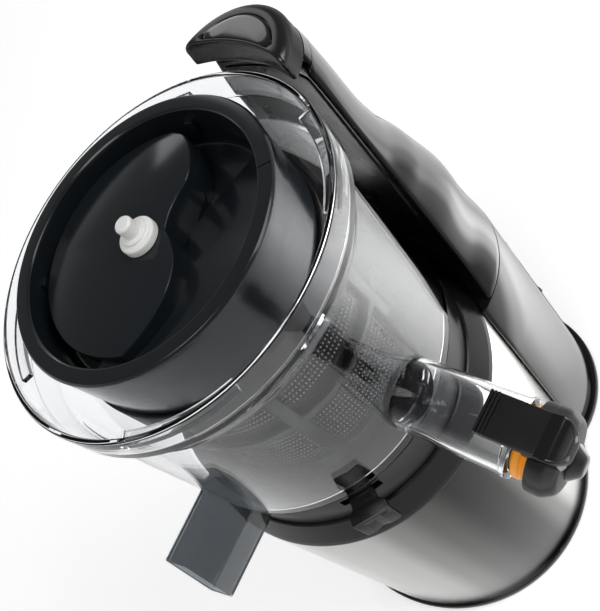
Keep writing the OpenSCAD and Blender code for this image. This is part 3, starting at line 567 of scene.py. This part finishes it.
lug = rounded([(76.2, 302), (71.2, 302), (71.2, 304.6), (76.2, 304.6)], [0, 0.7, 0.7, 0], 4)
for k, a in enumerate((-43.5, 46.5, 136.5, 226.5)):
    finish_piece("bowl_lug_%d" % k, lathe(lug, steps=24, start=a - 19, sweep=38), ["bowl"], bevel=0.4)
step = [(55.6, 200.1), (57, 200.1), (57, 202), (55.6, 202)]
finish_piece("bowl_inner_step", lathe(rounded(step, 0.4, 3)), ["bowl"])
hub = [(12.7, 193), (17.5, 193), (17.5, 196.9), (15.4, 196.9), (15.4, 200), (12.7, 200)]
finish_piece("bowl_hub", lathe(rounded(hub, 0.3, 3)), ["bowl"])
# (along the spout, low side, high side) of the foot that carries the tap's hinge
foot = [(35, -16.5, -15.2), (40, -22, -15.2), (44, -24.3, -15.6), (48.5, -24.3, -17.2), (50.6, -22, -19)]
foot = loft([[(x, -3, z), (x, 3, z), (x, 3, z2), (x, -3, z2)] for x, z, z2 in foot])
finish_piece("spout_hinge_foot", foot, ["bowl"], place=SPOUT, bevel=0.5)

RING = [(72.8, 176.5), (72.8, 196.9), (24, 196.9), (24, 176.5), (26.4, 176.5), (26.4, 194.4), (69.8, 194.4),
        (69.8, 176.5)]
ring = lathe(rounded(RING, [0.5, 0.6, 0, 0, 0, 0, 0, 0.3]), steps=256)
ring = finish_piece("bowl_base_ring", ring, ["bowl_ring"], SOFT)
CHUTE = turn_z(-86) @ Matrix.Translation((0, -0.0045, 0))
LEVER = turn_z(-34)
cut(ring, [tool(block(36, 90, -17.1, 17.1, 177, 196.7), CHUTE),
           tool(block(66, 80, -10, 10, 189, 194.4), LEVER)])
gasket = [(13, 200.1), (17.4, 200.1), (17.4, 202.5), (16.2, 202.5), (15.6, 201.4), (14.8, 201.4),
          (14.2, 202.5), (13, 202.5)]
finish_piece("hub_gasket", lathe(rounded(gasket, 0.3, 3)), ["bowl_gasket"])


# ---------- pulp chute and lever ----------


CHUTE_HALF, CHUTE_LOW, CHUTE_HIGH = 16.8, 179.1, 196.7


def chute_ring(x, inset, r):
    """Rounded rectangle across the chute at distance x."""
    half, low, high = CHUTE_HALF - inset, CHUTE_LOW + inset, CHUTE_HIGH - inset
    return [(x, y, z) for y, z in rounded([(-half, low), (half, low), (half, high), (-half, high)], r, 6)]


chute_steps = [(38, 0, 2), (60, 0, 2), (108, 0, 2), (109, 0, 2), (111.6, 0, 2), (112, 0.3, 1.8)]
chute_steps += [(112, 1.6, 1), (111.6, 2, 0.8), (60, 2, 0.8), (40, 2, 0.8)]
finish_piece("pulp_chute_tube", loft([chute_ring(*step) for step in chute_steps]), ["pulp_chute"], place=CHUTE)

arm = [(57.6, -6), (78, -6), (80, -9), (85.4, -9), (85.4, 9), (80, 9), (78, 6), (57.6, 6)]
arm = prism(rounded(arm, [5.8, 2, 2, 1.5, 1.5, 2, 2, 5.8], 6), 190, 193.6)
finish_piece("pulp_lever_arm", arm, ["pulp_lever"], SOFT, place=LEVER, bevel=0.6)
grip = [(82.5, -9), (85.4, -9), (85.4, -4), (84.4, 0), (85.4, 4), (85.4, 9), (82.5, 9)]
grip = prism(rounded(grip, [1, 1.4, 2, 2, 2, 1.4, 1], 5), 179.2, 192.8)
finish_piece("pulp_lever_grip", grip, ["pulp_lever"], SOFT, place=LEVER, bevel=0.7)


# ---------- tap ----------

TAP_HALF = 8.5
BARREL_X, BARREL_Z, BARREL_R = 58.5, 15.1, 8.4


def rectangle(x0, x1, half):
    return [(x0, -half), (x1, -half), (x1, half), (x0, half)]


def tap_piece(name, bm, bevel=0.0, material=SOFT, place=SPOUT):
    finish_piece(name, bm, ["tap_lever"], material, place=place, bevel=bevel)


tap_piece("tap_lever_plate", prism(rounded(rectangle(35.6, 60, TAP_HALF), 1, 4), 19.3, 23.3), 0.7)
for k in range(3):
    rib_x = 34.2 + 1.4 * k
    tap_piece("tap_lever_rib_%d" % k, prism(rounded(rectangle(rib_x, rib_x + 1, 8.4), 0.3, 3), 19.2, 24.1), 0.3)
cap = [(0, 53.2), (15.7, 53.2), (16.9, 53.4), (17.3, 55.4), (17.3, 59.8), (14.2, 64.4), (0, 64.8)]
tap_piece("tap_cap", lathe(rounded(cap, [0, 0.4, 0.4, 2, 4, 3.5, 0], 6), steps=96), place=ALONG)
skirt = rounded([(15.5, 49.8), (17, 49.8), (17.3, 55), (15.5, 55)], [0.5, 0.8, 0, 0], 4)
tap_piece("tap_cap_skirt", lathe(skirt, steps=40, start=48, sweep=112), 0.4, place=ALONG)
nose = rounded([(0, 58), (9.6, 58), (7.4, 65), (4, 69.4), (0, 69.5)], [0, 0, 6, 2.4, 0], 6)
tap_piece("tap_nose", lathe(nose, steps=64), material=None,
          place=SPOUT @ Matrix.Translation((0, 0, -0.005)) @ Matrix.Rotation(math.pi / 2, 4, "Y"))
tap_piece("tap_cap_bridge", prism(rounded(rectangle(53.3, 58.2, TAP_HALF), 1, 4), 10, 22.6), 0.7)

EAR = [(50.6, -24), (54, -24), (58.4, -18), (58.6, -10), (53.4, -12.5), (50.6, -17.2), (44.2, -17.2),
       (43.2, -20.5), (44.2, -24)]
for k, y in enumerate((-8.3, 3.3)):
    bm = prism(rounded(EAR, 1.4, 4), y, y + 5)
    bm.transform(Matrix.Rotation(math.pi / 2, 4, "X"))
    bm.transform(Matrix.Translation((0, 2 * y + 5, 0)))
    tap_piece("tap_ear_%d" % k, bm, 0.5)

barrel = []
for k in range(41):
    t = math.radians(-120 + 240 * k / 40)
    barrel.append((BARREL_X + BARREL_R * math.cos(t), BARREL_Z + BARREL_R * math.sin(t)))
bm = prism(barrel, -TAP_HALF, TAP_HALF)
bm.transform(Matrix.Rotation(math.pi / 2, 4, "X"))
knob = finish_piece("tap_barrel", bm, ["tap_knob"], BLACK, place=SPOUT)
plan = prism(rounded(rectangle(50, 67, 8.3), [0.5, 6, 6, 0.5], 10), -10, 30)
cut(knob, [tool(plan, SPOUT)], "INTERSECT", 40)


def on_barrel(p, lift):
    """Height of the barrel skin above a plan point of the spout frame."""
    u = max(-BARREL_R, min(BARREL_R, p[0] - BARREL_X))
    return BARREL_Z + math.sqrt(max(BARREL_R ** 2 - u * u, 0)) + lift


# raised rail that follows the barrel's edge, open towards the bowl
outside = rounded(rectangle(52, 67.2, 8.7), [0, 6.4, 6.4, 0], 10)
inside = rounded(rectangle(52, 66, 7.5), [0, 5.2, 5.2, 0], 10)
rail = [[(*a, on_barrel(a, -3.4)), (*a, on_barrel(a, 0.35)), (*b, on_barrel(b, 0.35)), (*b, on_barrel(b, -3.4))]
        for a, b in zip(outside, inside)]
tap_piece("tap_barrel_rail", loft(rail), 0.25)
plug = [(0, 46.4), (12.6, 46.4), (14.5, 47.6), (14.5, 50), (13.6, 51), (14.5, 52), (14.5, 53.1), (0, 53.1)]
plug = lathe(rounded(plug, [0, 1, 0.8, 0.8, 0.4, 0.8, 0.3, 0], 4), steps=96)
finish_piece("tap_silicone_plug", plug, ["tap_seal"], place=ALONG)
face = rounded([(0, 45.9), (12.9, 45.9), (12.9, 46.5), (0, 46.5)], [0, 0.3, 0, 0], 3)
tap_piece("tap_plug_face", lathe(face, steps=64), place=ALONG)


# ---------- strainer ----------

top_band = rounded([(56.8, 268), (60.1, 268), (60.1, 285), (56.8, 285)], [0.3, 0.8, 0.8, 0.3], 4)
finish_piece("strainer_body", lathe(top_band), ["strainer_frame"], SOFT)
for k, (r0, r1, z0, z1) in enumerate(((54.8, 57.4, 202.4, 208), (55.4, 58.2, 240, 244))):
    hoop = rounded([(r0, z0), (r1, z0), (r1, z1), (r0, z1)], 0.5, 3)
    finish_piece("strainer_hoop_%d" % k, lathe(hoop), ["strainer_frame"], SOFT)
for k in range(6):
    rib = lathe([(55.6, 204), (58, 204), (58, 270), (55.6, 270)], steps=6, start=30 + 60 * k - 3, sweep=6)
    finish_piece("strainer_rib_%d" % k, rib, ["strainer_frame"], SOFT, bevel=0.4)


# ---------- auger ----------

DRUM_PROFILE = [(58.5, 286), (60.1, 313), (60.5, 317.8), (59.6, 319), (54.2, 319), (53.4, 318.2), (53.4, 298),
                (16, 298), (16, 294), (51.4, 294), (54.4, 292), (55.5, 286)]
DRUM_ROUND = [0.5, 2, 0.8, 0.8, 0.6, 0.6, 2.5, 0, 0, 1, 1, 0.5]
drum = lathe(rounded(DRUM_PROFILE, DRUM_ROUND, 5), steps=256)
drum = finish_piece("auger_drum_shell", drum, ["auger_drum"])
cut(drum, [tool(block(50, 62, -0.25, 0.25, 318.6, 321), turn_z(42))])
for k, a in enumerate((106, 216, 289)):
    tab = prism(rounded(rectangle(51, 53.9, 2), 0.5, 3), 308, 313)
    finish_piece("drum_tab_%d" % k, tab, ["auger_drum"], place=turn_z(a), bevel=0.4)


PLATE_R, PLATE_FOOT = 47.8, 298.1


def curve(points, steps=7):
    """Smooth run through points, ends included."""
    ext = [points[0]] + points + [points[-1]]
    out = []
    for i in range(1, len(ext) - 2):
        p0, p1, p2, p3 = (Vector(q) for q in ext[i - 1:i + 3])
        for k in range(steps):
            t = k / steps
            out.append(0.5 * (2 * p1 + (p2 - p0) * t + (2 * p0 - 5 * p1 + 4 * p2 - p3) * t * t
                              + (3 * p1 - p0 - 3 * p2 + p3) * t ** 3))
    return out


def plate_outline(inset):
    """Feed plate: round on the left, an S-shaped leading edge with one cusp on the right."""
    angles = [math.radians(t) for t in range(112, 300, 2)]
    pts = [Vector((PLATE_R * math.cos(t), PLATE_R * math.sin(t))) for t in angles]
    pts += curve([(23.9, -41.4), (26, -34), (27, -25), (26.6, -16), (24.5, -8.5), (20.5, -1.8),
                  (14.5, 3.4), (8.4, 6.6)])
    pts += curve([(8.4, 6.6), (5.6, 13), (4.3, 21), (4.0, 28), (0.8, 34.5), (-5, 40.5),
                  (-11.5, 44.2), (-17.9, 44.3)])
    out = []
    for i, p in enumerate(pts):
        d = (pts[(i + 1) % len(pts)] - pts[i - 1]).normalized()
        out.append((p.x - d.y * inset, p.y + d.x * inset))
    return out


steps = [(0, 298.2), (0, 312.8), (0.12, 313.4), (0.4, 313.8), (0.9, 314)]
rows = [[(x, y, z) for x, y in plate_outline(i)] for i, z in steps]
finish_piece("feed_plate", loft(rows), ["auger_plate"])

# ramp that falls round the mouth, beside the feed plate
ramp_rows = []
for k in range(49):
    t = math.radians(-75 + 150 * k / 48)
    z = 311 - 12 * (k / 48) ** 0.8
    corners = ((12, z), (53.2, z), (53.2, PLATE_FOOT), (12, PLATE_FOOT))
    ramp_rows.append([(r * math.cos(t), r * math.sin(t), height) for r, height in corners])
finish_piece("feed_ramp", loft(ramp_rows), ["auger_plate"], smooth=40)

flange = [(0, 314.2), (8, 314.2), (8, 317.8), (5.6, 317.8), (5.6, 319.2), (0, 319.2)]
flange = lathe(rounded(flange, [0, 0.3, 1, 0.6, 0.5, 0], 4), steps=64)
finish_piece("guide_flange", flange, ["pin_flange"])
pin = rounded([(0, 319.2), (3.7, 319.2), (3.7, 324.6), (3, 325.5), (0, 325.5)], [0, 0, 0.8, 0.6, 0], 4)
finish_piece("guide_pin_top", lathe(pin, steps=48), ["guide_pin"])


# ---------- floor, lights and camera ----------


def soft_box(name, place, target, size, power):
    """Rectangular lamp aimed at a point."""
    lamp = bpy.data.lights.new(name, "AREA")
    lamp.shape = "RECTANGLE"
    lamp.size, lamp.size_y = size
    lamp.energy = power
    ob = bpy.data.objects.new(name, lamp)
    ob.location = place
    ob.rotation_euler = (Vector(target) - Vector(place)).to_track_quat("-Z", "Y").to_euler()
    bpy.context.scene.collection.objects.link(ob)


floor_mesh = bpy.data.meshes.new("studio_floor")
bm = bmesh.new()
bmesh.ops.create_circle(bm, cap_ends=True, segments=96, radius=4.0)
bm.to_mesh(floor_mesh)
bm.free()
floor = bpy.data.objects.new("studio_floor", floor_mesh)
bpy.context.scene.collection.objects.link(floor)
paper = new_material("studio_paper", (0.9, 0.9, 0.9), 0.7, spec=0.05)
principled(paper).inputs["Emission Color"].default_value = (1, 1, 1, 1)
# the floor glows, most of all in one round patch beside the column, which the steel and the clear bowl mirror
glow_at = node(paper, "ShaderNodeMapping", vector_type="TEXTURE", Location=(0.18, 0.26, 0),
               Scale=(0.2, 0.2, 0.2))
link(paper, node(paper, "ShaderNodeTexCoord").outputs["Object"], glow_at.inputs["Vector"])
glow = node(paper, "ShaderNodeTexGradient", gradient_type="SPHERICAL")
link(paper, glow_at.outputs["Vector"], glow.inputs["Vector"])
glow_strength = map_range(paper, glow.outputs["Fac"], (0.0, 1.0), (0.46, 4.5))
link(paper, glow_strength, principled(paper).inputs["Emission Strength"])
add_rough(paper, 0.65, 0.75, 8)
floor_mesh.materials.append(paper)

world = bpy.data.worlds.new("studio")
bpy.context.scene.world = world
world.use_nodes = True
back = world.node_tree.nodes["Background"]
back.inputs["Strength"].default_value = 1.0
where = world.node_tree.nodes.new("ShaderNodeTexCoord")
parts = world.node_tree.nodes.new("ShaderNodeSeparateXYZ")
sky = world.node_tree.nodes.new("ShaderNodeValToRGB")
sky.color_ramp.elements[0].position = 0.02
sky.color_ramp.elements[0].color = (0.9, 0.9, 0.9, 1)
sky.color_ramp.elements[1].position = 0.45
sky.color_ramp.elements[1].color = (0.22, 0.22, 0.225, 1)
world.node_tree.links.new(where.outputs["Generated"], parts.inputs["Vector"])
world.node_tree.links.new(parts.outputs["Z"], sky.inputs["Fac"])
world.node_tree.links.new(sky.outputs["Color"], back.inputs["Color"])

soft_box("key_box", (0.9, 0.9, 1.2), (0, 0, 0.15), (0.9, 0.9), 12)
soft_box("left_box", (-1.4, 0.9, 0.9), (0, 0, 0.2), (0.35, 1.0), 2.5)
soft_box("top_box", (0.5, -0.7, 1.8), (0, 0, 0.2), (0.8, 0.8), 9)

# viewing angle: pitch, yaw and roll in radians, place in millimetres, and the view's middle off centre
cam_data = bpy.data.cameras.new("camera")
camera = bpy.data.objects.new("camera", cam_data)
bpy.context.scene.collection.objects.link(camera)
PITCH, YAW, ROLL = 0.84187, -0.040014, -0.950777
LENS, SENSOR, SHIFT_X, SHIFT_Y = 51.3042, 36, 0.0658, 0.0871333
DISTANCE, HEIGHT, TURN = 256.395, 508.968, math.radians(-9.8)
forward = Vector((-math.cos(PITCH) * math.cos(YAW), math.cos(PITCH) * math.sin(YAW), -math.sin(PITCH)))
right = forward.cross(Vector((0, 0, 1))).normalized()
up = right.cross(forward)
c, s = math.cos(ROLL), math.sin(ROLL)
right2 = c * right + s * up
up2 = -s * right + c * up
turn = Matrix.Rotation(TURN, 3, "Z")
axes = Matrix((turn @ right2, turn @ up2, -(turn @ forward))).transposed()
camera.matrix_world = Matrix.Translation(turn @ Vector((DISTANCE, 0, HEIGHT)) * MM) @ axes.to_4x4()
cam_data.sensor_fit = "HORIZONTAL"
cam_data.sensor_width = SENSOR
cam_data.lens = LENS
cam_data.shift_x = SHIFT_X
cam_data.shift_y = SHIFT_Y
cam_data.clip_start = 0.01
bpy.context.scene.camera = camera

bpy.context.scene.view_settings.view_transform = "Standard"
